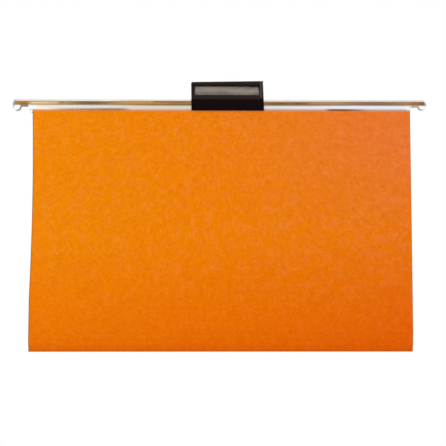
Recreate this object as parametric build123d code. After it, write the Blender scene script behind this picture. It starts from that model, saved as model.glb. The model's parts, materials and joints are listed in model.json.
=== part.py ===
from build123d import *
import math
import os

# Hanging file folder: a scored board folder on two folded steel bars, with a snap-on index tab.
# Millimetres. X runs along the bars, the front faces -Y, Z is up.
# The origin is midway between the four rail seats, level with the top of the rails.

# Board
card_width = 374.0
card_thickness = 0.4
card_shift = 1.5  # middle of the board from the middle of the bars
panel_drop = 223.9  # rail seat to the first score line, along the board
card_tuck = 0.6  # top edge of the board above the rail seat, inside the bar

# Scored base
scores_per_side = 3
score_pitch = 6.4  # from one score line to the next
fold_strip = 5.0  # lowest score line to the bottom fold
score_bend = 6.0  # how far each score line is bent when the folder hangs empty
score_radius = 0.35  # pressed bead along a score line
fold_radius = 0.7  # outside of the bottom fold
score_clearance = 0.1

# Hanging bars
bar_length = 409.6
bar_sheet = 0.5
bead_height = 6.0
bead_width = 4.4
neck_height = 0.75  # rail seat up to the bottom of the bead
neck_round = 0.5
flange_drop = 3.6  # rail seat down to the lower edge of the outer leaf
inner_drop = 6.2  # the same for the leaf on the papers' side
lobe_drop = 4.0  # rail seat down to the tip of the hook nose
lobe_width = 7.3
lobe_round = 3.1
notch_width = 7.5
notch_round = 0.8
notch_flare = 1.5  # how far the notch opens towards the board, at the outer leaf's lower edge
end_round = 3.2
bar_clearance = 0.4  # back bar to the tab's rear leg

# Index tab
tab_width = 71.0
tab_offset = 7.0  # middle of the tab from the middle of the bar
tab_wall = 1.1
tab_clearance = 0.2  # round the bead
tab_front_drop = 4.7  # rail seat down to the lower edge of the front leg
tab_rear_drop = 1.8
lip_reach = 1.4  # snap lip under the bead
tab_lean = 15.0
head_start = 7.6  # rail seat up to the foot of the head
head_length = 17.8
head_corner = 1.6
head_edge = 0.3
rim_thickness = 1.0
head_back = 1.0
window_low = 3.6  # foot of the head up to the window opening
window_height = 9.3
window_side = 3.6  # side border of the window opening
pocket_lap = 1.5  # how far window and label run behind the border
pocket_wall = 1.6  # closed left end of the pocket
window_thickness = 0.4
label_thickness = 0.25
pocket_clearance = 0.12

# Values that follow from the sizes above
bead_middle = neck_height + bead_height / 2
bead_top = neck_height + bead_height
flange_thickness = card_thickness + 2 * bar_sheet
lobe_start = bar_length / 2 - lobe_width
notch_start = lobe_start - notch_width
clip_half = bead_width / 2 + tab_clearance + tab_wall
clip_inner = bead_width / 2 + tab_clearance
pocket_depth = window_thickness + label_thickness + 2 * pocket_clearance
head_thickness = rim_thickness + pocket_depth + head_back
pocket_low = window_low - pocket_lap
pocket_height = window_height + 2 * pocket_lap


def seat_half_gap(lean):
    """Half the distance between the two rows of rail seats, with both bars leaning inwards."""
    reach = clip_half + bar_clearance + bead_width / 2
    return reach / (2 * math.cos(lean)) + bead_middle * math.sin(lean)


def side_strips():
    """Widths of the strips on one side, from the panel down to the bottom fold."""
    return [score_pitch] * (scores_per_side - 1) + [fold_strip]


def base_half_width(lean):
    """Half the width of the scored base at its upper score lines."""
    bend = math.radians(score_bend)
    reaches = (width * math.sin((k + 1) * bend - lean) for k, width in enumerate(side_strips()))
    return sum(reaches)


def panel_lean():
    """Lean of each panel that closes the section, found by halving an interval."""
    low, high = math.radians(-20), math.radians(20)
    for _ in range(60):
        middle = (low + high) / 2
        reach = seat_half_gap(middle) + panel_drop * math.sin(middle)
        if reach < base_half_width(middle):
            low = middle
        else:
            high = middle
    return (low + high) / 2


lean = panel_lean()
seat_gap = seat_half_gap(lean)
centre_bend = 180 + 2 * math.degrees(lean) - 2 * scores_per_side * score_bend
front_place = Location((0, -seat_gap, 0), (-math.degrees(lean), 0, 0))
back_place = Location((0, seat_gap, 0), (math.degrees(lean), 0, 0))


def heading(angle):
    """Direction in the section, from straight down towards the front."""
    return Vector(0, -math.sin(angle), -math.cos(angle))


def along_x(section, length, plane=Plane.YZ):
    """Solid of a section, drawn in YZ or in a plane given, with its middle at X = 0."""
    return extrude(plane * section, amount=length / 2, both=True)


def board(section, plane=Plane.YZ):
    """One facet of the board, from its section."""
    return Pos(card_shift, 0, 0) * along_x(section, card_width, plane)


def score_lines():
    """Bends of all score lines, from the back panel round to the front panel."""
    side = [score_bend] * scores_per_side
    return side + [centre_bend] + side


def line_radii():
    """Bead radius along each score line, from the back panel round to the front panel."""
    side = [score_radius] * scores_per_side
    return side + [fold_radius] + side


def base_strips():
    """Strips between score lines, back to front, as (start point, direction, width)."""
    point = Vector(0, seat_gap, 0) + panel_drop * heading(-lean)
    angle = -lean
    strips = []
    for bend, width in zip(score_lines(), side_strips() + side_strips()[::-1]):
        angle += math.radians(bend)
        strips.append((point, heading(angle), width))
        point = point + width * heading(angle)
    return strips


def base_strip(start, direction, width, start_radius, end_radius):
    """One strip of board: hollow edge round the score line behind it, bead on the one in front."""
    section = Pos(width / 2, 0) * Rectangle(width, card_thickness)
    section += Pos(width, 0) * Circle(end_radius)
    section -= Circle(start_radius + score_clearance)
    plane = Plane(origin=start, x_dir=direction, z_dir=(1, 0, 0))
    return board(section, plane)


def panel_section():
    height = panel_drop + card_tuck
    return Pos(0, card_tuck - height / 2) * Rectangle(card_thickness, height)


def back_panel():
    section = panel_section() + Pos(0, -panel_drop) * Circle(score_radius)
    return back_place * board(section)


def front_panel():
    section = panel_section() - Pos(0, -panel_drop) * Circle(score_radius + score_clearance)
    return front_place * board(section)


def bar_section():
    """One folded strip of steel: a hollow bead above two leaves that pinch the board."""
    leaf_drop = max(flange_drop, inner_drop, lobe_drop)
    leaf_height = bead_middle + leaf_drop
    leaf_middle = (bead_middle - leaf_drop) / 2
    section = Pos(0, bead_middle) * SlotOverall(bead_height, bead_width, rotation=90)
    section += Pos(0, leaf_middle) * Rectangle(flange_thickness, leaf_height)
    neck_limit = neck_height + bead_width / 4
    necks = section.vertices().filter_by_position(Axis.Y, 0, neck_limit)
    section = fillet(necks, neck_round)
    hollow_height = bead_height - 2 * bar_sheet
    hollow_width = bead_width - 2 * bar_sheet
    section -= Pos(0, bead_middle) * SlotOverall(hollow_height, hollow_width, rotation=90)
    section -= Pos(0, leaf_middle) * Rectangle(card_thickness, leaf_height)
    return section


def bar_outline(drop):
    """Front view of one side of a bar: rounded ends, hook noses, and notches that flare towards the board."""
    height = bead_top + lobe_drop
    ends = Pos(0, bead_top - height / 2) * Rectangle(bar_length, height)
    ends = fillet(ends.vertices().group_by(Axis.Y)[-1], end_round)
    below = -2 * lobe_drop
    cut = Pos(0, below / 2) * Rectangle(2 * lobe_start, -below)
    cut = fillet(cut.vertices().group_by(Axis.Y)[-1], notch_round)
    ends = ends - cut
    ends = fillet(ends.vertices().group_by(Axis.Y)[0], lobe_round)
    flange_end = notch_start - notch_flare * drop / flange_drop
    half = [(notch_start, 0), (flange_end, -drop)]
    flange = Polygon(*half, *[(-x, y) for x, y in reversed(half)], align=None)
    return ends + flange


def bar():
    """Bar with its longer leaf towards +Y, the papers' side of the front bar."""
    body = along_x(bar_section(), bar_length)
    outer = extrude(Plane.XZ * bar_outline(flange_drop), amount=bead_width)
    inner = extrude(Plane.XZ * bar_outline(inner_drop), amount=-bead_width)
    return body & (outer + inner)


def tab_clip():
    """Inverted U that snaps over the bead, with a rounded lip on each leg."""
    rise = bead_top + tab_clearance + tab_wall
    front_height = rise + tab_front_drop
    rear_height = rise + tab_rear_drop
    leg_middle = clip_half - tab_wall / 2
    section = Pos(-leg_middle, rise - front_height / 2) * Rectangle(tab_wall, front_height)
    section += Pos(leg_middle, rise - rear_height / 2) * Rectangle(tab_wall, rear_height)
    section += Pos(0, rise - tab_wall / 2) * Rectangle(2 * clip_half, tab_wall)
    lower_bead = neck_height + bead_width / 2
    lip_away = bead_width / 2 + tab_clearance + lip_reach
    lip_level = lower_bead - math.sqrt(lip_away**2 - clip_inner**2)
    for side in (-1, 1):
        lip = Pos(side * clip_inner, lip_level) * Circle(lip_reach)
        inside = Pos(side * (clip_inner - lip_reach / 2), lip_level) * Rectangle(lip_reach, 2 * lip_reach)
        section += lip & inside
    return along_x(section, tab_width)


def head_box(width, depth, height, left, front, low):
    """Box given by its near lower left corner in the head's own frame."""
    return Pos(left, front, low) * Box(width, depth, height, align=(Align.MIN, Align.MIN, Align.MIN))


def on_head(shape):
    """Lean a shape from the head's own frame onto the clip."""
    return Location((0, -clip_half, head_start), (-tab_lean, 0, 0)) * shape


def tab_head():
    """Label case: framed window in front, pocket open at its right end."""
    left = -tab_width / 2
    head = head_box(tab_width, head_thickness, head_length, left, 0, 0)
    crown = head.edges().filter_by(Axis.Y).group_by(Axis.Z)[-1].sort_by(Axis.X)
    head = fillet(crown[0], head_corner)
    face_edges = head.faces().sort_by(Axis.Y)[0].edges()
    head = chamfer(face_edges, head_edge)
    opening = tab_width - 2 * window_side
    head -= head_box(opening, rim_thickness, window_height, -opening / 2, 0, window_low)
    pocket = tab_width - pocket_wall
    head -= head_box(pocket, pocket_depth, pocket_height, left + pocket_wall, rim_thickness, pocket_low)
    return head


def tab_holder():
    return tab_clip() + on_head(tab_head())


def tab_insert(thickness, depth):
    """Sheet that fills the pocket, with a clearance at its edges, flush with the open end."""
    width = tab_width - pocket_wall - pocket_clearance
    height = pocket_height - 2 * pocket_clearance
    left = tab_width / 2 - width
    return on_head(head_box(width, thickness, height, left, depth, pocket_low + pocket_clearance))


def tab_window():
    return tab_insert(window_thickness, rim_thickness)


def tab_label():
    return tab_insert(label_thickness, rim_thickness + window_thickness + pocket_clearance)


def strip_names():
    backs = [f"base_strip_back_{k + 1}" for k in range(scores_per_side)]
    fronts = [f"base_strip_front_{k + 1}" for k in reversed(range(scores_per_side))]
    return backs + fronts


def assembly():
    """Every piece of the folder, by name."""
    on_front = front_place * Pos(tab_offset, 0, 0)
    pieces = {
        "back_panel": back_panel(),
        "front_panel": front_panel(),
        "back_bar": back_place * Rot(0, 0, 180) * bar(),
        "front_bar": front_place * bar(),
        "tab_holder": on_front * tab_holder(),
        "tab_window": on_front * tab_window(),
        "tab_label": on_front * tab_label(),
    }
    radii = line_radii()
    for name, strip, start_radius, end_radius in zip(strip_names(), base_strips(), radii, radii[1:]):
        pieces[name] = base_strip(*strip, start_radius, end_radius)
    return pieces


def describe():
    """Print the values that place the joints and the seats."""
    print("lean", round(math.degrees(lean), 5), "seat gap", round(seat_gap, 5))
    print("score bend", score_bend, "centre bend", round(centre_bend, 6))
    for start, direction, width in base_strips():
        end = start + width * direction
        print("strip from y", round(start.Y, 5), "z", round(start.Z, 5), end=" ")
        print("to y", round(end.Y, 5), "z", round(end.Z, 5))


os.makedirs("parts", exist_ok=True)
for node, shape in assembly().items():
    export_step(shape, f"parts/{node}.step")
describe()
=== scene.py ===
import json
import math
import bmesh
import bpy
import numpy as np
from mathutils import Matrix, Vector


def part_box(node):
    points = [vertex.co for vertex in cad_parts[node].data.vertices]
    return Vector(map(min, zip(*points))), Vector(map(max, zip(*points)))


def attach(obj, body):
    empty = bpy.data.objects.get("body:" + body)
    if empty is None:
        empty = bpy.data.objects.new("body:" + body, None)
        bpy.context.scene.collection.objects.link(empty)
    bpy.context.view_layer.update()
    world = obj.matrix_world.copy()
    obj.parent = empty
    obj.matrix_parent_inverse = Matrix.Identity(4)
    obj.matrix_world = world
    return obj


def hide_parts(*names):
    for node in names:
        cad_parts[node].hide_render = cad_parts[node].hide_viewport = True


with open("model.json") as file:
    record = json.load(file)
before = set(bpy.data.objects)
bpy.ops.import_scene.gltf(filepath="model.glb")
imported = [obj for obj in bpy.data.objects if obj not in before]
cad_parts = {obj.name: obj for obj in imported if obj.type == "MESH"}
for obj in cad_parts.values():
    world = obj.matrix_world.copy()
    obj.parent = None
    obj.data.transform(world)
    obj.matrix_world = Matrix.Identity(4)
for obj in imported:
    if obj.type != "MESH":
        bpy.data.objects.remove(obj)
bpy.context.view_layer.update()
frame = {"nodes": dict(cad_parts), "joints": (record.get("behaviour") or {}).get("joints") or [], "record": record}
mm = 0.001  # the dictionaries below are in millimetres, the frame is in metres
scene = bpy.context.scene


def say(*words):
    print("folder:", *words)


say("frame loaded,", len(frame["nodes"]), "nodes")

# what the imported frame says: score lines by joint as (y, z), lean of the panels from a rail seat
scoreAt = {j["name"]: np.array(j["pos_m"][1:]) for j in frame["joints"] if j["type"] == "hinge"}
seatMount = next(m for m in frame["record"]["mounts"] if m["name"] == "front_seat_right")
lean = math.atan2(-seatMount["axis"][1], -seatMount["axis"][2])
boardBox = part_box("front_panel")
sideUp = {"front": np.array([math.sin(lean), math.cos(lean)]),
          "back": np.array([-math.sin(lean), math.cos(lean)])}


# one closed skin from two sheets of points, each (stations along X, points along the section, 3):
# the sheets are joined along all four edges, and turned round if their volume comes out negative
def closedSheet(name, outer, inner, material, sharpAngle=40):
    stations, rows = outer.shape[:2]
    points = np.concatenate([outer.reshape(-1, 3), inner.reshape(-1, 3)])
    near = np.arange(stations * rows).reshape(stations, rows)
    far = near + stations * rows

    def quads(grid):
        return np.stack([grid[:-1, :-1], grid[1:, :-1], grid[1:, 1:], grid[:-1, 1:]], -1).reshape(-1, 4)

    rims = [(far[0], near[0]), (near[-1], far[-1]), (near[:, 0], far[:, 0]), (far[:, -1], near[:, -1])]
    faces = [quads(near), quads(far)[:, ::-1]] + [quads(np.stack(rim, 1)) for rim in rims]
    faces = np.concatenate(faces)
    a, b, c, d = (points[faces[:, k]] for k in range(4))
    if (a * (np.cross(b, c) + np.cross(c, d))).sum() < 0:
        faces = faces[:, ::-1]
    mesh = bpy.data.meshes.new(name)
    mesh.from_pydata(points.tolist(), [], faces.tolist())
    mesh.shade_smooth()
    mesh.set_sharp_from_angle(angle=math.radians(sharpAngle))
    mesh.materials.append(material)
    piece = bpy.data.objects.new(name, mesh)
    scene.collection.objects.link(piece)
    return piece


# a number at each point, for a material that follows the piece's own edges
def pointMark(piece, name, outer, inner):
    layer = piece.data.attributes.new(name, "FLOAT", "POINT")
    layer.data.foreach_set("value", np.concatenate([outer.ravel(), inner.ravel()]).astype(np.float32))


def place(piece, body, slotName, *nodes):
    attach(piece, body)
    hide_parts(*nodes)


def linear(hexColour):
    value = np.array([int(hexColour[k:k + 2], 16) for k in (1, 3, 5)]) / 255
    value = np.where(value <= 0.04045, value / 12.92, ((value + 0.055) / 1.055) ** 2.4)
    return (*value.tolist(), 1.0)


# adds one node: its settings, its inputs as values, hex colours or links, and a ramp's stops
def addNode(tree, kind, inputs=None, stops=None, **settings):
    node = tree.nodes.new(kind)
    for key, value in settings.items():
        setattr(node, key, value)
    for key, value in (inputs or {}).items():
        if isinstance(value, bpy.types.NodeSocket):
            tree.links.new(value, node.inputs[key])
        else:
            node.inputs[key].default_value = linear(value) if isinstance(value, str) else value
    for k, (position, hexColour) in enumerate(stops or []):
        ramp = node.color_ramp.elements
        stop = ramp[k] if k < 2 else ramp.new(position)
        stop.position = position
        stop.color = linear(hexColour)
    live = [socket for socket in node.outputs if socket.enabled]
    return live[0] if len(live) == 1 else node.outputs


def startMaterial(name, **constants):
    material = bpy.data.materials.new(name)
    material.use_nodes = True
    tree = material.node_tree
    tree.nodes.clear()
    shader = tree.nodes.new("ShaderNodeBsdfPrincipled")
    addNode(tree, "ShaderNodeOutputMaterial", {"Surface": shader.outputs["BSDF"]})
    for key, value in constants.items():
        shader.inputs[key.replace("_", " ")].default_value = value
    coords = addNode(tree, "ShaderNodeTexCoord")["Object"]
    return material, tree, shader, coords


# the scored board. A ramp lists its first and last stop before those between
boardLook = {
    "thickness": 0.4, "grooveDepth": 0.14, "grooveHalf": 0.8, "tuck": 0.06,
    "belly": 0.5, "bellyPower": 1.5, "wave": 0.35, "waveCount": 1.3, "waveShift": 0.2,
    "foldHalf": 0.5, "foldReach": -0.05, "foldSwell": 1.0,
    "footOut": 1.05, "headIn": 0.98, "bowIn": 1.7, "bowFrom": 0.15, "stripOut": 1.15, "edgePower": 4,
    "panelRows": 96, "stripRows": 28, "roundRows": 6, "columns": 120,
    "edgeColumns": (0, 0.3, 0.6, 1.0, 1.6, 2.6), "edgeMargin": 4,
    # painted shade along the lines, and darker at the cut edges, less of it at the right
    "creaseShade": 0.1, "foldShade": 0.5, "foldFade": 1.4,
    "edgeDark": 0.8, "edgeDarkReach": 0.7, "rightStretch": 1.6, "rightShift": 0.3,
    # how far it stands off the bar's lower edge for the painted shadow, 0 to 1, as straight runs between places
    # along the bar
    "gapAt": (-172, -155, -118, -97, -88, 46, 103, 109, 126, 150),
    "gap": (0.0, 0.45, 0.75, 0.75, 0.2, 0.35, 0.25, 1.0, 1.0, 0.3),
    # zones of colour, each growing from its first place to its second
    "across": (-170, 190), "top": (-120, -40), "down": (-130, -246), "under": (-232, -242),
    "rim": (-5.2, -3.4), "underFade": 0.5, "rimFade": 0.6, "pinkPower": 3.0,
    "tones": [(0.0, "#EF8A04"), (1.0, "#EB7B12"), (0.5, "#EF8302")], "topRightSheen": "#EB7C34",
    "footLeft": "#EA7400", "footRight": "#E56000", "turnedUnderShade": "#E05A00",
    "rimLeft": "#DCC4B6", "rimRight": "#F6E0DC", "gapShadow": "#80604A",
    "crease": "#A0561C", "cut": "#6E5432",
    # mottle, the clumps and fibres drawn coarser than real ones so that they show
    "cloudSize": 9, "cloudFrom": 0.46, "cloudTo": 0.8, "cloudFade": 0.24,
    "cloudLeft": "#F08C40", "cloudRight": "#F08A60",
    "clumpSize": 4.5, "clumps": [(0.3, "#FAEBEB"), (0.7, "#FFFFFF")],
    "fibreSize": 2.2, "fibres": [(0.3, "#E9E5E0"), (0.62, "#FFFFFF")], "fibreFade": 0.65, "fibreRelief": 0.12,
    "mottleTurn": (0.5, 0.35, 0.8)}


def standOff(x):
    return np.interp(x, boardLook["gapAt"], boardLook["gap"])


# Dyed-through folder board, calendered: dull orange, mottled by short fibres, darker at its cut edges, with
# painted shade along the pressed lines, the fold and towards the foot, and painted light from the left
def dyedFolderBoard():
    look = boardLook
    material, tree, shader, coords = startMaterial("dyedFolderBoard", Roughness=0.9, Specular_IOR_Level=0.03)
    axes = addNode(tree, "ShaderNodeSeparateXYZ", {"Vector": coords})
    zone = {}
    for key, axis in (("across", "X"), ("top", "Z"), ("down", "Z"), ("under", "Z"), ("rim", "Z")):
        start, end = look[key]
        fade = look.get(f"{key}Fade", 1.0)
        zone[key] = addNode(tree, "ShaderNodeMapRange", {"Value": axes[axis], "From Min": start * mm,
                                                         "From Max": end * mm, "To Max": fade})
    across, down = zone["across"], zone["down"]
    # lighter and yellower at the left, redder at the right: painted light falling from the left
    tone = addNode(tree, "ShaderNodeValToRGB", {"Fac": across}, look["tones"])["Color"]
    # a little pinker towards the upper right corner: a painted sheen
    pink = addNode(tree, "ShaderNodeMath", {0: across, 1: look["pinkPower"]}, operation="POWER")
    pink = addNode(tree, "ShaderNodeMath", {0: pink, 1: zone["top"]}, operation="MULTIPLY")
    tone = addNode(tree, "ShaderNodeMix", {"Factor": pink, "A": tone, "B": look["topRightSheen"]},
                   data_type="RGBA")
    # deeper towards the foot and redder on the last strip, which turns under: painted shade where the board curves
    # down to the fold
    foot = addNode(tree, "ShaderNodeMix", {"Factor": across, "A": look["footLeft"], "B": look["footRight"]},
                   data_type="RGBA")
    tone = addNode(tree, "ShaderNodeMix", {"Factor": down, "A": tone, "B": foot}, data_type="RGBA")
    tone = addNode(tree, "ShaderNodeMix", {"Factor": zone["under"], "A": tone, "B": look["turnedUnderShade"]},
                   data_type="RGBA")
    # the mottle is cut through at a slant, so that its grid doesn't show in the sheet
    slant = addNode(tree, "ShaderNodeMapping", {"Vector": coords, "Rotation": look["mottleTurn"]})
    # paler pinkish clouds, where the dye took less well, and none towards the foot
    cloud = addNode(tree, "ShaderNodeTexNoise", {"Vector": slant, "Scale": 1 / (look["cloudSize"] * mm),
                                                 "Detail": 3.0})["Fac"]
    cloud = addNode(tree, "ShaderNodeMapRange", {"Value": cloud, "From Min": look["cloudFrom"],
                                                 "From Max": look["cloudTo"], "To Max": look["cloudFade"]})
    undyed = addNode(tree, "ShaderNodeMath", {0: 1.0, 1: down}, operation="SUBTRACT")
    cloud = addNode(tree, "ShaderNodeMath", {0: cloud, 1: undyed}, operation="MULTIPLY")
    pale = addNode(tree, "ShaderNodeMix", {"Factor": across, "A": look["cloudLeft"], "B": look["cloudRight"]},
                   data_type="RGBA")
    tone = addNode(tree, "ShaderNodeMix", {"Factor": cloud, "A": tone, "B": pale}, data_type="RGBA")
    # darker clumps of fibre, and single fibres over them
    clump = addNode(tree, "ShaderNodeTexNoise", {"Vector": slant, "Scale": 1 / (look["clumpSize"] * mm),
                                                 "Detail": 4.0})["Fac"]
    clump = addNode(tree, "ShaderNodeValToRGB", {"Fac": clump}, look["clumps"])["Color"]
    tone = addNode(tree, "ShaderNodeMix", {"Factor": 1.0, "A": tone, "B": clump},
                   data_type="RGBA", blend_type="MULTIPLY")
    fibre = addNode(tree, "ShaderNodeTexNoise", {"Vector": slant, "Scale": 1 / (look["fibreSize"] * mm),
                                                 "Detail": 4.0, "Roughness": 0.65})["Fac"]
    grain = addNode(tree, "ShaderNodeValToRGB", {"Fac": fibre}, look["fibres"])["Color"]
    tone = addNode(tree, "ShaderNodeMix", {"Factor": look["fibreFade"], "A": tone, "B": grain},
                   data_type="RGBA", blend_type="MULTIPLY")
    # paler along the bar's lower edge, and a painted shadow where it stands off
    gap = addNode(tree, "ShaderNodeAttribute", attribute_name="gap")["Fac"]
    paintedLightTone = addNode(tree, "ShaderNodeMix", {"Factor": across, "A": look["rimLeft"], "B": look["rimRight"]},
                     data_type="RGBA")
    paintedLightTone = addNode(tree, "ShaderNodeMix", {"Factor": gap, "A": paintedLightTone, "B": look["gapShadow"]},
                     data_type="RGBA")
    tone = addNode(tree, "ShaderNodeMix", {"Factor": zone["rim"], "A": tone, "B": paintedLightTone}, data_type="RGBA")
    # painted shade along the creases and the fold, and darker along the cut edges
    for mark in ("crease", "cut"):
        amount = addNode(tree, "ShaderNodeAttribute", attribute_name=mark)["Fac"]
        tone = addNode(tree, "ShaderNodeMix", {"Factor": amount, "A": tone, "B": look[mark]},
                       data_type="RGBA")
    tree.links.new(tone, shader.inputs["Base Color"])
    bump = addNode(tree, "ShaderNodeBump", {"Strength": 0.3, "Distance": look["fibreRelief"] * mm,
                                            "Height": fibre})
    tree.links.new(bump, shader.inputs["Normal"])
    return material


# one facet of board between two section points. Its middle line runs straight from foot to head, sinks by a
# bell curve into a pressed groove at each scored end, and bellies outwards by a power of a sine, with a slow
# sine wave along the bar; half a thickness to each side of it makes the sheet, with round ends, and the
# bottom fold swells by a bell curve to the round of the bent board. Sideways, its left edge follows a curve
# of its own, and both edges are tucked in by a hair where two facets share a line, so that their cut ends
# never lie in one plane
def boardFacet(name, foot, head, outward, scored, rows, belly, leftEdge, finish, tuck=0, folded=False):
    look = boardLook
    half = look["thickness"] * mm / 2
    along = (head - foot) / np.linalg.norm(head - foot)
    foot = foot - along * folded * look["foldReach"] * mm
    length = np.linalg.norm(head - foot)
    t = (1 - np.cos(np.linspace(0, np.pi, rows))) / 2
    turn = np.linspace(0, np.pi / 2, look["roundRows"] + 1)[1:]
    footHalf = look["foldHalf"] * mm if folded else half
    swollen = half + (footHalf - half) * np.exp(-((t * length / (look["foldSwell"] * mm)) ** 2))
    reach = np.concatenate([-footHalf * np.sin(turn[::-1]), t * length, length + half * np.sin(turn)])
    hair = 1e-7  # keeps the two sheets apart at the round ends
    width = np.concatenate([footHalf * np.cos(turn[::-1]), swollen, half * np.cos(turn)]) + hair
    t = np.clip(reach / length, 0, 1)
    left, right = boardBox[0].x, boardBox[1].x
    span = (right - left) / mm
    nearEdge = np.array(look["edgeColumns"])
    inner = np.linspace(look["edgeMargin"], span - look["edgeMargin"], look["columns"])
    u = np.concatenate([nearEdge, inner, span - nearEdge[::-1]]) / span
    groove = np.zeros_like(t)
    for isScored, distance in zip(scored, (t * length, (1 - t) * length)):
        groove = np.maximum(groove, isScored * np.exp(-((distance / (look["grooveHalf"] * mm)) ** 2)))
    swell = np.sin(np.pi * t) ** look["bellyPower"]
    wave = np.sin(2 * np.pi * (look["waveCount"] * u + look["waveShift"]))
    lift = swell[None, :] * (belly * mm + (belly != 0) * look["wave"] * mm * wave[:, None])
    lift = lift - groove[None, :] * look["grooveDepth"] * mm
    atLeft, atRight = (1 - u) ** look["edgePower"], u ** look["edgePower"]
    x = left + (right - left) * u[:, None] + leftEdge(t)[None, :] * mm * atLeft[:, None]
    x = x + tuck * mm * (atLeft - atRight)[:, None]
    middle = foot + reach[:, None] * along
    sheets = []
    for side in (1, -1):
        section = middle[None, :, :] + (lift + side * width)[:, :, None] * outward
        sheets.append(np.concatenate([x[:, :, None], section], -1))
    piece = closedSheet(name, *sheets, finish)
    # painted shade along the scored grooves and at the bottom fold
    foldShade = folded * look["foldShade"] * np.exp(-((t * length / (look["foldFade"] * mm)) ** 2))
    grooveShade = groove * look["creaseShade"] + foldShade
    # darker towards the cut edges, less of it at the right
    fromEdge = np.minimum(u * span, look["rightStretch"] * (1 - u) * span + look["rightShift"])
    edgeDarkness = look["edgeDark"] * np.exp(-((fromEdge / look["edgeDarkReach"]) ** 2))
    # the stand-off along the bar, for the painted shadow under its lower edge
    gap = standOff((left + (right - left) * u) / mm)
    for mark, amount in (("crease", grooveShade[None, :]), ("cut", edgeDarkness[:, None]), ("gap", gap[:, None])):
        spread = np.broadcast_to(amount, x.shape)
        pointMark(piece, mark, spread, spread)
    return piece


# a panel's left edge from foot to head, in millimetres inwards: a straight slope from outside to its own
# line, and a sine bow that begins a little above the foot
def panelLeftEdge(t):
    look = boardLook
    bow = np.sin(np.pi * np.clip((t - look["bowFrom"]) / (1 - look["bowFrom"]), 0, 1))
    return look["headIn"] * t - look["footOut"] + look["bowIn"] * bow


def stripLeftEdge(t):
    return np.full_like(t, -boardLook["stripOut"])


boardFinish = dyedFolderBoard()
panelRise = (boardBox[1].z - scoreAt["score_front_1"][1]) / math.cos(lean)
for side, up in sideUp.items():
    sign = -1 if side == "front" else 1
    lines = [scoreAt[f"score_{side}_{k}"] for k in (1, 2, 3)] + [scoreAt["bottom_fold"]]
    outward = sign * np.array([up[1], -up[0]])
    panel = boardFacet(f"{side}Board", lines[0], lines[0] + panelRise * up, outward, (1, 0),
                       boardLook["panelRows"], boardLook["belly"], panelLeftEdge, boardFinish)
    place(panel, side, "folder_board", f"{side}_panel")
    for k in range(3):
        run = lines[k] - lines[k + 1]
        run = run / np.linalg.norm(run)
        outward = sign * np.array([run[1], -run[0]])
        # every other strip is tucked in, and the back ones twice as far
        tuck = boardLook["tuck"] * (k % 2 == 0) * (2 if side == "back" else 1)
        strip = boardFacet(f"{side}Strip{k + 1}", lines[k + 1], lines[k], outward, (k < 2, 1),
                           boardLook["stripRows"], 0, stripLeftEdge, boardFinish, tuck, k == 2)
        place(strip, f"base_{side}_{k + 1}", "folder_board", f"base_strip_{side}_{k + 1}")
say("board facets made")

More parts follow.
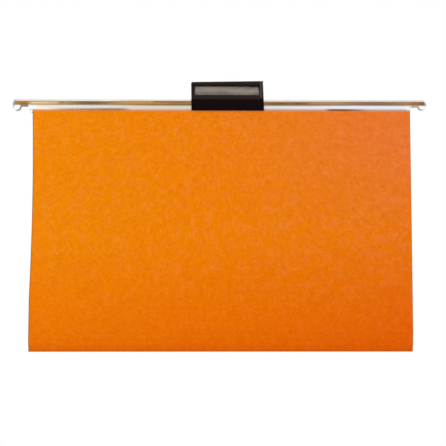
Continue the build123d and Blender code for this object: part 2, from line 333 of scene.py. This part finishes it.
# the folded steel bars: their section and outline, and the tints of the plating, some of them painted light and
# shade
barLook = {
    "length": 409.6, "sheet": 0.5, "beadHeight": 6.0, "beadWidth": 4.4, "neck": 0.75, "neckRound": 0.5,
    "outerLeaf": 3.6, "innerLeaf": 6.2, "hemTilt": 0.15, "noseWidth": 7.3, "noseTip": 3.2,
    "noseLeft": 4.0, "noseRight": 2.8, "notchWidth": 7.5, "notchRise": 0.45, "notchRound": 0.8,
    "flare": 3.0, "flareSlope": 3.2, "roundLeft": 3.2, "roundRight": 4.4, "endFall": 6.0, "sharpAngle": 35,
    "flangeStations": 60, "flareStations": 13, "cornerStations": 9, "noseStations": 41,
    "leafRows": (0, 0.03, 0.07, 0.12, 0.2, 0.35, 0.55, 0.78, 1.0),
    "bendRows": 5, "swingRows": 8, "crownRows": 13,
    # widths of the bare line, of the hem's painted shade between two places, and of the painted shading at the end
    "edgeLine": 0.5, "hemAt": (-120, 110), "hemLine": (1.5, 1.35), "hemPower": 4, "endLine": 1.8,
    "endMargin": 0.5,
    # how far the crown's painted highlight and the gold reach down, as straight runs between places along the bar
    "crown": ((-110, -86, -28, 42), (0.1, -0.4, -0.4, 0.0)),
    "gold": ((-110, -70, 90, 130), (0.0, 0.85, 0.75, 0.35)),
    # brown streaks on the bead: from, to, height and strength
    "streaks": ((-160, -153, 3.0, 0.6), (-134, -98, 3.4, 0.2), (-66, -22, 4.25, 1.0), (40, 88, 2.4, 1.0)),
    "streakFade": 3.0, "streakHalf": 0.6, "streakTone": "#4A3010",
    "fleckSize": 9, "fleckFrom": 0.35, "fleckTo": 0.65, "fleckLeast": 0.6,
    # tints along the bar, between castHalf to the left and to the right
    "castHalf": 200, "swellEvery": 95, "swellShift": 2.3,
    "dull": [(0.18, "#6C5F3E"), (0.82, "#8C6C52"), (0.34, "#9A7444"), (0.7, "#9C7E5E")],
    "bright": [(0.1, "#CDB57A"), (0.9, "#AA8672"), (0.3, "#B48650"), (0.65, "#AC845A")],
    "silver": [(0.03, "#D4D8DA"), (0.98, "#F6F6F8"), (0.06, "#D3C5C2"), (0.4, "#C8C6B7"), (0.8, "#DFE4EC"),
               (0.95, "#E2E6EC")],
    # brown hooks, and painted shade on the neck in the notches, from one end of the bar to the other
    "hooks": [(0.012, "#94703F"), (0.988, "#7C5B46"), (0.024, "#9A5E20"), (0.976, "#9E6A3C")],
    "hookBefore": 4, "hookAfter": 1, "hookFade": 0.9, "tan": "#9A8E74",
    "notches": [(0.015, "#000000"), (0.984, "#000000"), (0.019, "#FFFFFF"), (0.035, "#FFFFFF"),
                (0.039, "#000000"), (0.955, "#000000"), (0.964, "#AAAAAA"), (0.98, "#B3B3B3")],
    # tints up the bead, from its neck to its crown, and the height at which it turns gold
    "shade": [(0.48, "#FFFFFF"), (0.57, "#8A8064")], "shadeTo": 0.6, "shadeLeast": 0.15,
    "paintedLightTone": [(0.6, "#A89C86"), (1.0, "#ECE8E2"), (0.76, "#CAC2B6")], "crownFrom": 0.57, "crownTo": 0.66,
    "goldFrom": 0.6, "goldTo": 2.1,
    # painted end shade, bare metal and painted end shading as left and right tint, the hem's painted shade as
    # closed and open tint
    "endShadeTint": ("#9A8E7E", "#7A6664"), "bare": ("#D0CCC6", "#D8D8D8"), "endShading": ("#A49A90", "#E8E8EC"),
    "greyPower": 2.0, "hemShade": ("#DCCCBA", "#54433A")}
barEnd = barLook["length"] / 2
noseAt = barEnd - barLook["noseWidth"]
notchAt = noseAt - barLook["notchWidth"]
flangeAt = notchAt - barLook["flare"]


# Cold-rolled steel strip, zinc plated and yellow passivated: silvery leaves, a golden brown bead with drifting
# tints, partly painted reflection, a painted highlight on its crown and painted shade in places, bare grey where
# it was sheared
def platedStrip():
    look = barLook
    material, tree, shader, coords = startMaterial("platedStrip", Metallic=1.0, Roughness=0.38)
    axes = addNode(tree, "ShaderNodeSeparateXYZ", {"Vector": coords})
    mark = {key: addNode(tree, "ShaderNodeAttribute", attribute_name=key)["Fac"]
            for key in ("crown", "gold", "streak", "gap", "hem", "sheared", "tip")}
    cast = addNode(tree, "ShaderNodeMapRange", {"Value": axes["X"], "From Min": -look["castHalf"] * mm,
                                                "From Max": look["castHalf"] * mm})
    along = addNode(tree, "ShaderNodeMapRange", {"Value": axes["X"], "From Min": -barEnd * mm,
                                                 "From Max": barEnd * mm})
    upBead = addNode(tree, "ShaderNodeMath", {0: axes["Z"], 1: mark["crown"]}, operation="ADD")
    upBead = addNode(tree, "ShaderNodeMapRange", {"Value": upBead, "From Min": look["neck"] * mm,
                                                  "From Max": (look["neck"] + look["beadHeight"]) * mm})
    tint = {}
    for key, way in (("dull", cast), ("bright", cast), ("silver", cast), ("hooks", along), ("notches", along),
                     ("shade", upBead), ("paintedLightTone", upBead)):
        tint[key] = addNode(tree, "ShaderNodeValToRGB", {"Fac": way}, look[key])["Color"]
    for key, way in (("endShadeTint", cast), ("bare", cast), ("endShading", cast), ("hemShade", mark["gap"])):
        tint[key] = addNode(tree, "ShaderNodeMix", {"Factor": way, "A": look[key][0], "B": look[key][1]},
                            data_type="RGBA")
    # the gold swells and fades along the bar, paler at the left and browner at the right, partly a painted
    # reflection
    swell = addNode(tree, "ShaderNodeTexWave", {"Vector": coords, "Distortion": 1.2, "Detail Scale": 2.0,
                                                "Scale": math.pi / 10 / (look["swellEvery"] * mm),
                                                "Phase Offset": look["swellShift"]})["Fac"]
    gold = addNode(tree, "ShaderNodeMix", {"Factor": swell, "A": tint["dull"], "B": tint["bright"]},
                   data_type="RGBA")
    # both ends, beyond the notches, are browner, with painted shade at the very end
    fromMiddle = addNode(tree, "ShaderNodeMath", {0: axes["X"]}, operation="ABSOLUTE")
    hook = addNode(tree, "ShaderNodeMapRange", {"Value": fromMiddle, "To Max": look["hookFade"],
                                                "From Min": (notchAt - look["hookBefore"]) * mm,
                                                "From Max": (notchAt + look["hookAfter"]) * mm})
    gold = addNode(tree, "ShaderNodeMix", {"Factor": hook, "A": gold, "B": tint["hooks"]}, data_type="RGBA")
    gold = addNode(tree, "ShaderNodeMix", {"Factor": mark["tip"], "A": gold, "B": tint["endShadeTint"]},
                   data_type="RGBA")
    # painted shade, olive, in the bead's upper half at the left
    shaded = addNode(tree, "ShaderNodeMapRange", {"Value": cast, "From Max": look["shadeTo"], "To Min": 1.0,
                                                  "To Max": look["shadeLeast"]})
    gold = addNode(tree, "ShaderNodeMix", {"Factor": shaded, "A": gold, "B": tint["shade"]},
                   data_type="RGBA", blend_type="MULTIPLY")
    # brown streaks, rubbed into flecks
    fleck = addNode(tree, "ShaderNodeTexNoise", {"Vector": coords,
                                                 "Scale": 1 / (look["fleckSize"] * mm)})["Fac"]
    fleck = addNode(tree, "ShaderNodeMapRange", {"Value": fleck, "From Min": look["fleckFrom"],
                                                 "From Max": look["fleckTo"], "To Min": look["fleckLeast"]})
    streak = addNode(tree, "ShaderNodeMath", {0: mark["streak"], 1: fleck}, operation="MULTIPLY")
    gold = addNode(tree, "ShaderNodeMix", {"Factor": streak, "A": gold, "B": look["streakTone"]},
                   data_type="RGBA")
    # a painted highlight along the crown
    crown = addNode(tree, "ShaderNodeMapRange", {"Value": upBead, "From Min": look["crownFrom"],
                                                 "From Max": look["crownTo"]})
    gold = addNode(tree, "ShaderNodeMix", {"Factor": crown, "A": gold, "B": tint["paintedLightTone"]}, data_type="RGBA")
    # the neck is silvery like the leaves, with painted shade in the notches under the bead
    neck = addNode(tree, "ShaderNodeMix", {"Factor": tint["notches"], "A": tint["silver"], "B": look["tan"]},
                   data_type="RGBA")
    level = addNode(tree, "ShaderNodeMath", {0: axes["Z"], 1: mark["gold"]}, operation="ADD")
    onBead = addNode(tree, "ShaderNodeMapRange", {"Value": level, "From Min": look["goldFrom"] * mm,
                                                  "From Max": look["goldTo"] * mm})
    tone = addNode(tree, "ShaderNodeMix", {"Factor": onBead, "A": neck, "B": gold}, data_type="RGBA")
    # painted shade along the hem, darker where the board stands off, bare along the sheared outline, painted light
    # and shade round the very end
    endShading = addNode(tree, "ShaderNodeMath", {0: mark["tip"], 1: look["greyPower"]}, operation="POWER")
    for amount, key in ((mark["hem"], "hemShade"), (mark["sheared"], "bare"), (endShading, "endShading")):
        tone = addNode(tree, "ShaderNodeMix", {"Factor": amount, "A": tone, "B": tint[key]}, data_type="RGBA")
    tree.links.new(tone, shader.inputs["Base Color"])
    return material


# lower edge of a leaf, as a height for each place along the bar: a flange that hangs a little lower towards
# the right, a flared notch with a round corner and its roof a little above the seat, and a hook nose of two
# quarter ellipses, the steeper one at the tip
def barLowerEdge(x, drop):
    look = barLook
    ax = np.abs(x)
    roof = look["notchRise"]
    edge = roof - np.clip(look["flareSlope"] * (notchAt - ax), 0, roof + drop + look["hemTilt"] * x / barEnd)
    r = look["notchRound"]
    corner = np.clip(noseAt - ax, 0, r)
    edge = np.where((ax >= notchAt) & (ax < noseAt), roof - r + np.sqrt(r * r - (r - corner) ** 2), edge)
    fromTip = barEnd - ax
    tip = look["noseTip"]
    away = np.where(fromTip < tip, 1 - fromTip / tip, (fromTip - tip) / (look["noseWidth"] - tip))
    depth = np.where(x < 0, look["noseLeft"], look["noseRight"]) + roof - r
    return np.where(ax >= noseAt, roof - r - depth * np.sqrt(np.clip(1 - away**2, 0, 1)), edge)


# how far the bar's end is cut back at each height: a quarter of an ellipse down from the bead's top, rounder
# at the right end
def barCutBack(x, z):
    look = barLook
    rise = np.clip((z - look["neck"] - look["beadHeight"]) / look["endFall"] + 1, 0, 1)
    return np.where(x < 0, look["roundLeft"], look["roundRight"]) * (1 - np.sqrt(1 - rise**2))


# places along a bar where its section is drawn: sparse on the flange, close together at notch and nose
def barStations():
    look = barLook
    tiny = 0.01  # keeps the last place in the notch apart from the first one on the nose
    corner = look["notchRound"]
    turns = [(flangeAt, notchAt, look["flareStations"]), (notchAt, notchAt + corner, look["cornerStations"]),
             (notchAt + corner, noseAt - corner, look["cornerStations"]),
             (noseAt - corner, noseAt - tiny, look["cornerStations"])]
    nose = (1 - np.cos(np.linspace(0, np.pi, look["noseStations"]))) / 2 * look["noseWidth"] + noseAt
    runs = [np.linspace(start, end, count)[1:] for start, end, count in turns]
    half = np.concatenate([np.linspace(0, flangeAt, look["flangeStations"]), *runs, nose])
    return np.concatenate([-half[:0:-1], half])


# section of a bar at each station: leaf, neck, oval bead and leaf again, as one folded strip. The leaf is a
# straight line, the neck a small hollow arc, the bead two arcs of one radius with a straight side between.
# Outer and inner lines hold the same count of points and pair up across the sheet; the ends are cut to the
# outline
def barSheets(x, lowerEdges):
    look = barLook
    half = boardLook["thickness"] / 2
    leaf = half + look["sheet"]
    big = look["beadWidth"] / 2
    small = big - look["sheet"]
    low = look["neck"] + big
    high = look["neck"] + look["beadHeight"] - big
    r = look["neckRound"]
    neckY = leaf + r
    neckZ = low - math.sqrt((big + r) ** 2 - neckY**2)
    nearEnd = np.sign(x) * np.clip((np.abs(x) - noseAt) / (barEnd - noseAt), 0, 1)
    fall = np.array(look["leafRows"])  # closest together at the leaf's edge
    bend = np.linspace(0, math.acos(neckY / (big + r)), look["bendRows"] + 1)[1:]
    swing = np.linspace(math.asin(neckY / (big + r)), math.pi / 2, look["swingRows"] + 1)[1:]
    crown = np.linspace(0, math.pi / 2, look["crownRows"])
    outerY = np.concatenate([neckY - r * np.cos(bend), big * np.sin(swing), big * np.cos(crown)])
    outerZ = np.concatenate([neckZ + r * np.sin(bend), low - big * np.cos(swing), high + big * np.sin(crown)])
    bendFrom = 0.6  # the inner line goes straight on past the neck, so these of its rows face the outer bend
    climb = np.concatenate([fall * bendFrom, np.linspace(bendFrom, 1, len(bend) + 1)[1:]])
    innerTop = low - math.sqrt(small**2 - half**2)
    swing = np.linspace(math.asin(half / small), math.pi / 2, look["swingRows"] + 1)[1:]
    innerY = np.concatenate([small * np.sin(swing), small * np.cos(crown)])
    innerZ = np.concatenate([low - small * np.cos(swing), high + small * np.sin(crown)])
    sheets = []
    for rise, top, wide, roundY, roundZ in ((fall, neckZ, leaf, outerY, outerZ),
                                            (climb, innerTop, half, innerY, innerZ)):
        halves = []
        for lower in lowerEdges:
            straight = lower[:, None] + (top - lower)[:, None] * rise
            halves.append(np.concatenate([straight, np.broadcast_to(roundZ, (len(x), len(roundZ)))], 1))
        z = np.concatenate([halves[0], halves[1][:, -2::-1]], 1)
        y = np.concatenate([np.full(len(rise), wide), roundY])
        y = np.broadcast_to(np.concatenate([-y, y[-2::-1]]), z.shape)
        sheets.append(np.stack([x[:, None] - nearEnd[:, None] * barCutBack(x[:, None], z), y, z], -1))
    return sheets


# how near each point is to the sheared outline, 1 at the edge: a bell curve for notch and nose, a flatter one
# of the fourth power for the flange's lower edge, and a wide bell for the ends of the bar
def barMarks(x, sheet, lowerEdges):
    look = barLook
    y, z = sheet[:, :, 1], sheet[:, :, 2]
    slopes = [np.where(z < 0, np.gradient(lower, x)[:, None], 0) for lower in lowerEdges]
    rises = [(z - lower[:, None]) / np.sqrt(1 + slope**2) for lower, slope in zip(lowerEdges, slopes)]
    rise = np.where(y < 0, *rises)
    ax = np.abs(x)[:, None]
    fromEnd = barEnd - barCutBack(x[:, None], z) - np.abs(sheet[:, :, 0])
    inside = np.where((ax >= noseAt) & (z < 0), np.minimum(rise, ax - noseAt), rise)
    near = np.exp(-((np.clip(np.minimum(inside, fromEnd), 0, None) / look["edgeLine"]) ** 2))
    near = np.where((ax > notchAt) & (ax < noseAt), 0.0, near)
    hemLine = np.interp(x, look["hemAt"], look["hemLine"])[:, None]
    hem = np.exp(-((np.clip(inside, 0, None) / hemLine) ** look["hemPower"]))
    isEnd = ax > flangeAt - look["endMargin"]
    return {"sheared": np.where(isEnd, near, 0.0), "hem": np.where(isEnd, 0.0, hem),
            "tip": np.exp(-((fromEnd / look["endLine"]) ** 2))}


# how strong a brown streak is at each point: full between the two ends of its run, fading out over a few
# millimetres there, and a bell curve up and down; where runs meet, the stronger one counts
def barStreaks(x, z):
    look = barLook
    amount = np.zeros_like(z)
    for start, end, level, strength in look["streaks"]:
        inRun = np.clip(np.minimum(x - start, end - x) / look["streakFade"] + 0.5, 0, 1)[:, None]
        amount = np.maximum(amount, strength * inRun * np.exp(-(((z - level) / look["streakHalf"]) ** 2)))
    return amount


steelFinish = platedStrip()
for side, up in sideUp.items():
    x = barStations()
    lowerEdges = [barLowerEdge(x, barLook[leaf]) for leaf in ("outerLeaf", "innerLeaf")]
    if side == "back":
        lowerEdges.reverse()  # the longer leaf is towards the papers on both bars
    flat = barSheets(x, lowerEdges)
    seat = scoreAt[f"score_{side}_1"] - up * (scoreAt[f"score_{side}_1"][1] / up[1])
    turn = np.array(Matrix.Rotation(math.atan2(-up[0], up[1]), 3, "X"))
    sheets = [sheet * mm @ turn.T + [0, *seat] for sheet in flat]
    bar = closedSheet(f"{side}Bar", *sheets, steelFinish, barLook["sharpAngle"])
    marks = [barMarks(x, sheet, lowerEdges) for sheet in flat]
    for mark in ("sheared", "hem", "tip"):
        pointMark(bar, mark, marks[0][mark], marks[1][mark])
    pointMark(bar, "streak", *(barStreaks(x, sheet[:, :, 2]) for sheet in flat))
    # heights of the crown's painted highlight and of the gold, and the stand-off for the hem's painted shade
    drift = {key: np.interp(x, *barLook[key]) * mm for key in ("crown", "gold")}
    for mark, amount in {"gap": standOff(x), **drift}.items():
        spread = np.broadcast_to(amount[:, None], flat[0].shape[:2])
        pointMark(bar, mark, spread, spread)
    place(bar, side, "bar_steel", f"{side}_bar")
say("bars made")

# the moulded index tab, pushed a little out of true by use
tabLook = {
    "mergeWithin": 0.001, "flatWithin": 1, "edge": 0.22, "edgeAngle": 40, "edgeSegments": 2, "leanBack": 15.0,
    "topRise": 0.15, "rightRise": 1.1, "riseFrom": 22.0, "leftLean": 0.4, "rightLean": 0.8,
    "openingFrom": 19.0, "openingTo": 20.6, "openingRaise": 0.5,
    "footBelow": -3.5, "footOuter": 2.0, "footInner": 1.5, "footUp": 0.3,
    # tints from the seat up to this height, painted light and shade: dark clip, lit ledge, case, shaded band, lit
    # top
    "height": 25, "tones": [(0.25, "#130709"), (0.96, "#2F2624"), (0.3, "#2E2222"), (0.8, "#221919"),
                            (0.86, "#170E0B")],
    "pebbleSize": 0.9, "pebbles": [(0.35, "#D8D4D4"), (0.65, "#FFFFFF")], "pebbleRelief": 0.1,
    "reflectWidth": 4.0, "reflectFrom": 8.0, "reflectAbove": 9.0, "reflectTone": "#443C38",
    "reflectStops": [(0.15, "#000000"), (0.8, "#606060"), (0.3, "#FFFFFF"), (0.62, "#FFFFFF")]}


# Polystyrene, injection moulded with a satin mould face: deep brownish black, with a faint pebble that is
# drawn coarser than a real one so that it shows
def mouldedBlack():
    look = tabLook
    material, tree, shader, coords = startMaterial("mouldedBlack", Roughness=0.4, Specular_IOR_Level=0.03)
    axes = addNode(tree, "ShaderNodeSeparateXYZ", {"Vector": coords})
    # lighter and darker by height: painted light on the ledge and the top, painted shade under the top border
    rise = addNode(tree, "ShaderNodeMapRange", {"Value": axes["Z"], "From Max": look["height"] * mm})
    tone = addNode(tree, "ShaderNodeValToRGB", {"Fac": rise}, look["tones"])["Color"]
    pebble = addNode(tree, "ShaderNodeTexNoise", {"Vector": coords, "Scale": 1 / (look["pebbleSize"] * mm),
                                                  "Detail": 2.0})["Fac"]
    grain = addNode(tree, "ShaderNodeValToRGB", {"Fac": pebble}, look["pebbles"])["Color"]
    tone = addNode(tree, "ShaderNodeMix", {"Factor": 1.0, "A": tone, "B": grain},
                   data_type="RGBA", blend_type="MULTIPLY")
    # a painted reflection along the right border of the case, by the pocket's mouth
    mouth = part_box("tab_holder")[1].x
    rightSide = addNode(tree, "ShaderNodeMapRange", {"Value": axes["X"], "From Max": mouth,
                                                     "From Min": mouth - look["reflectWidth"] * mm})
    rightSide = addNode(tree, "ShaderNodeValToRGB", {"Fac": rightSide}, look["reflectStops"])["Color"]
    onCase = addNode(tree, "ShaderNodeMapRange", {"Value": axes["Z"], "From Min": look["reflectFrom"] * mm,
                                                  "From Max": look["reflectAbove"] * mm})
    rightReflection = addNode(tree, "ShaderNodeMath", {0: rightSide, 1: onCase}, operation="MULTIPLY")
    tone = addNode(tree, "ShaderNodeMix", {"Factor": rightReflection, "A": tone, "B": look["reflectTone"]},
                   data_type="RGBA")
    tree.links.new(tone, shader.inputs["Base Color"])
    bump = addNode(tree, "ShaderNodeBump", {"Strength": 0.15, "Distance": look["pebbleRelief"] * mm,
                                            "Height": pebble})
    tree.links.new(bump, shader.inputs["Normal"])
    return material


# copy of the moulded holder: its triangles are merged into flat faces, and its points moved in proportion to
# their height and their distance from the left end, so that its upper edge rises to the right and its ends
# lean; the upper edge of the opening goes up along the leaning face, the clip's foot is bent in and up, and
# sharp edges are rounded
def mouldedCopy(name, node, finish):
    look = tabLook
    mesh = bpy.data.meshes.new(name)
    work = bmesh.new()
    work.from_mesh(frame["nodes"][node].data)
    bmesh.ops.remove_doubles(work, verts=work.verts, dist=look["mergeWithin"] * mm)
    bmesh.ops.dissolve_limit(work, angle_limit=math.radians(look["flatWithin"]), verts=work.verts,
                             edges=work.edges)
    work.to_mesh(mesh)
    work.free()
    points = np.empty(len(mesh.vertices) * 3)
    mesh.vertices.foreach_get("co", points)
    points = points.reshape(-1, 3)
    left, right = points[:, 0].min(), points[:, 0].max()
    share = (points[:, 0] - left) / (right - left)
    height = points[:, 2] / mm
    opening = (height > look["openingFrom"]) & (height < look["openingTo"])
    raised = np.where(height > look["riseFrom"], look["topRise"] + share * look["rightRise"],
                      opening * look["openingRaise"])
    fromFoot = (height - height.min()) / np.ptp(height)
    points[:, 2] += raised * mm
    points[:, 0] += share * (1 - fromFoot) * look["rightLean"] * mm
    points[:, 0] -= (1 - share) * fromFoot * look["leftLean"] * mm
    points[:, 1] += opening * raised * mm * math.tan(math.radians(look["leanBack"]))
    foot = height < look["footBelow"]
    inwards = np.where(points[:, 1] < points[foot, 1].mean(), look["footOuter"], look["footInner"])
    points[:, 1] += foot * inwards * mm
    points[:, 2] += foot * look["footUp"] * mm
    mesh.vertices.foreach_set("co", points.ravel())
    mesh.shade_smooth()
    mesh.materials.clear()
    mesh.materials.append(finish)
    piece = bpy.data.objects.new(name, mesh)
    scene.collection.objects.link(piece)
    bevel = piece.modifiers.new("brokenEdges", "BEVEL")
    bevel.width = look["edge"] * mm
    bevel.segments = look["edgeSegments"]
    bevel.limit_method = "ANGLE"
    bevel.angle_limit = math.radians(look["edgeAngle"])
    bevel.harden_normals = True
    return piece


place(mouldedCopy("tabHolder", "tab_holder", mouldedBlack()), "tab", "tab_plastic", "tab_holder")

# the two sheets in the pocket: cut short at the right on a slant, the label bowed and its corner cut down
sheetLook = {"short": 3.5, "slant": 1.1, "cut": 0.165, "slope": 0.07, "columns": 57, "rows": 15}
windowLook = {"bow": 0.0, "drop": 0.0, "hazeSize": 5, "stretch": (0.14, 1.0, 1.0),
              "haze": [(0.3, "#4E463C"), (0.7, "#665C54")], "smokeFrom": 0.28, "smokeTo": 0.06}
labelLook = {"bow": 0.06, "drop": 1.7, "streakSize": 4.5, "stretch": (0.14, 1.0, 1.0),
             "streaks": [(0.34, "#857B6B"), (0.66, "#B4A597"), (0.5, "#9C9082")],
             "lowShadeFrom": 12.5, "lowShadeTo": 15.0, "lowShadeTone": "#D8D8D8"}


# Smoked acetate, calendered: greys what lies behind it in long soft streaks, drawn coarser than real ones,
# and keeps a clear gloss
def smokedAcetate():
    look = windowLook
    material, tree, shader, coords = startMaterial("smokedAcetate", Roughness=0.14, Specular_IOR_Level=0.25)
    run = addNode(tree, "ShaderNodeMapping", {"Vector": coords, "Scale": look["stretch"]})
    haze = addNode(tree, "ShaderNodeTexNoise", {"Vector": run, "Scale": 1 / (look["hazeSize"] * mm),
                                                "Detail": 3.0})["Fac"]
    tone = addNode(tree, "ShaderNodeValToRGB", {"Fac": haze}, look["haze"])["Color"]
    tree.links.new(tone, shader.inputs["Base Color"])
    thin, thick = (position for position, hexColour in look["haze"])
    smoke = addNode(tree, "ShaderNodeMapRange", {"Value": haze, "From Min": thin, "From Max": thick,
                                                 "To Min": look["smokeFrom"], "To Max": look["smokeTo"]})
    tree.links.new(smoke, shader.inputs["Alpha"])
    return material


# Uncoated writing paper, cream: dull, with faint streaks of its making along the sheet, drawn coarser than
# real ones
def creamPaper():
    look = labelLook
    material, tree, shader, coords = startMaterial("creamPaper", Roughness=0.9)
    run = addNode(tree, "ShaderNodeMapping", {"Vector": coords, "Scale": look["stretch"]})
    streak = addNode(tree, "ShaderNodeTexNoise", {"Vector": run, "Scale": 1 / (look["streakSize"] * mm),
                                                  "Detail": 3.0})["Fac"]
    tone = addNode(tree, "ShaderNodeValToRGB", {"Fac": streak}, look["streaks"])["Color"]
    # greyer along its lower edge: painted shade under the frame's lower border
    axes = addNode(tree, "ShaderNodeSeparateXYZ", {"Vector": coords})
    low = addNode(tree, "ShaderNodeMapRange", {"Value": axes["Z"], "From Min": look["lowShadeFrom"] * mm,
                                               "From Max": look["lowShadeTo"] * mm})
    lowShade = addNode(tree, "ShaderNodeMix", {"Factor": low, "A": look["lowShadeTone"], "B": "#FFFFFF"},
                      data_type="RGBA")
    tone = addNode(tree, "ShaderNodeMix", {"Factor": 1.0, "A": tone, "B": lowShade},
                   data_type="RGBA", blend_type="MULTIPLY")
    tree.links.new(tone, shader.inputs["Base Color"])
    return material


# a thin sheet in the pocket, laid out on the node it replaces: across from left to a slanted right end, up
# from its lower to its upper edge, bowed forwards by a sine, its upper edge sloping down to a step near the
# right end
def pocketSheet(name, node, look, finish):
    corners = np.array([v.co for v in frame["nodes"][node].data.vertices])
    corners = np.unique(corners.round(7), axis=0)  # loose triangles share each corner of the sheet
    corners = corners[np.argsort(corners[:, 2])]
    lowEdge, highEdge = corners[:4].mean(0), corners[-4:].mean(0)
    height = np.linalg.norm(highEdge - lowEdge)
    up = (highEdge - lowEdge) / height
    forward = np.array([0, -up[2], up[1]])
    half = np.ptp((corners - lowEdge) @ forward) / 2
    u = np.linspace(0, 1, sheetLook["columns"])[:, None]
    v = np.linspace(0, 1, sheetLook["rows"])[None, :]
    left, right = corners[:, 0].min(), corners[:, 0].max()
    step = np.clip((u - 1 + sheetLook["cut"]) / sheetLook["slope"], 0, 1)
    level = v * (height - look["drop"] * mm * step)
    swell = look["bow"] * mm * np.sin(np.pi * u) * np.sin(np.pi * v)
    x = left + (right - left - (sheetLook["short"] + sheetLook["slant"] * v) * mm) * u
    base = np.stack([x, np.full(level.shape, lowEdge[1]), np.full(level.shape, lowEdge[2])], -1)
    base = base + level[:, :, None] * up
    sheets = [base + (swell + side * half)[:, :, None] * forward for side in (1, -1)]
    return closedSheet(name, *sheets, finish)


window = pocketSheet("tabWindow", "tab_window", windowLook, smokedAcetate())
place(window, "tab", "tab_window", "tab_window")
label = pocketSheet("tabLabel", "tab_label", labelLook, creamPaper())
place(label, "label", "label_paper", "tab_label")
say("tab made")

# stage, in metres: a pale round floor well below the hanging folder, white surround, soft light from the
# upper left
stageLook = {"floorDrop": 0.75, "floorRadius": 1.5, "floorSides": 96, "floorTone": "#F4F3F1",
             "floorGlow": 0.4, "ambient": 0.78,
             "keyPower": 9.0, "keySize": 1.6, "keyAt": (-1.2, -1.45, 0.3),
             "backPower": 8.0, "backSize": 1.4, "backAt": (1.1, 1.6, 0.2),
             "topPower": 4.0, "topSize": 0.5, "topAt": (0.0, -1.3, 1.25), "aim": (0, 0, -0.11)}
floorFinish, tree, shader, coords = startMaterial("paleFloor", Base_Color=linear(stageLook["floorTone"]),
                                                  Roughness=0.9, Emission_Color=(1, 1, 1, 1))
seen = addNode(tree, "ShaderNodeLightPath")["Is Camera Ray"]
glow = addNode(tree, "ShaderNodeMath", {0: seen, 1: stageLook["floorGlow"]}, operation="MULTIPLY")
tree.links.new(glow, shader.inputs["Emission Strength"])
around = np.linspace(0, 2 * np.pi, stageLook["floorSides"], endpoint=False)
ring = stageLook["floorRadius"] * np.stack([np.cos(around), np.sin(around)], 1)
floorMesh = bpy.data.meshes.new("floor")
floorMesh.from_pydata([(*p, -stageLook["floorDrop"]) for p in ring.tolist()], [], [list(range(len(ring)))])
floorMesh.materials.append(floorFinish)
floor = bpy.data.objects.new("floor", floorMesh)
scene.collection.objects.link(floor)

# the surround is white where the camera looks, straight or by a reflection, and dimmer as a light
scene.world = bpy.data.worlds.new("studio")
scene.world.use_nodes = True
tree = scene.world.node_tree
tree.nodes.clear()
path = addNode(tree, "ShaderNodeLightPath")
seen = addNode(tree, "ShaderNodeMath", {0: path["Is Camera Ray"], 1: path["Is Glossy Ray"]},
               operation="MAXIMUM")
seen = addNode(tree, "ShaderNodeMath", {0: seen, 1: path["Is Transmission Ray"]}, operation="MAXIMUM")
strength = addNode(tree, "ShaderNodeMapRange", {"Value": seen, "To Min": stageLook["ambient"], "To Max": 1.0})
surround = addNode(tree, "ShaderNodeBackground", {"Color": (1, 1, 1, 1), "Strength": strength})
addNode(tree, "ShaderNodeOutputWorld", {"Surface": surround})

for name in ("key", "back", "top"):
    lamp = bpy.data.lights.new(f"{name}Light", "AREA")
    lamp.energy = stageLook[f"{name}Power"]
    lamp.shape = "DISK"
    lamp.size = stageLook[f"{name}Size"]
    lampObject = bpy.data.objects.new(f"{name}Light", lamp)
    lampObject.location = stageLook[f"{name}At"]
    toAim = Vector(stageLook["aim"]) - lampObject.location
    lampObject.rotation_euler = toAim.to_track_quat("-Z", "Y").to_euler()
    scene.collection.objects.link(lampObject)

# the photograph's view: turn, tilt and focal length fitted to the folder's corners in the picture
viewLook = {"frame": 446, "focal": 1116.3, "azimuth": -0.83, "elevation": -4.856, "distance": 1.1,
            "aim": (0.002795, 0, -0.115727), "sensor": 36.0}
azimuth, elevation = math.radians(viewLook["azimuth"]), math.radians(viewLook["elevation"])
away = Vector((math.sin(azimuth) * math.cos(elevation), -math.cos(azimuth) * math.cos(elevation),
               math.sin(elevation)))
camera = bpy.data.cameras.new("camera")
camera.sensor_fit = "HORIZONTAL"
camera.sensor_width = viewLook["sensor"]
camera.lens = viewLook["sensor"] * viewLook["focal"] / viewLook["frame"]
scene.camera = bpy.data.objects.new("camera", camera)
scene.camera.location = Vector(viewLook["aim"]) + away * viewLook["distance"]
scene.camera.rotation_euler = (-away).to_track_quat("-Z", "Y").to_euler()
scene.collection.objects.link(scene.camera)
scene.view_settings.view_transform = "Standard"
say("stage, lights and camera set")
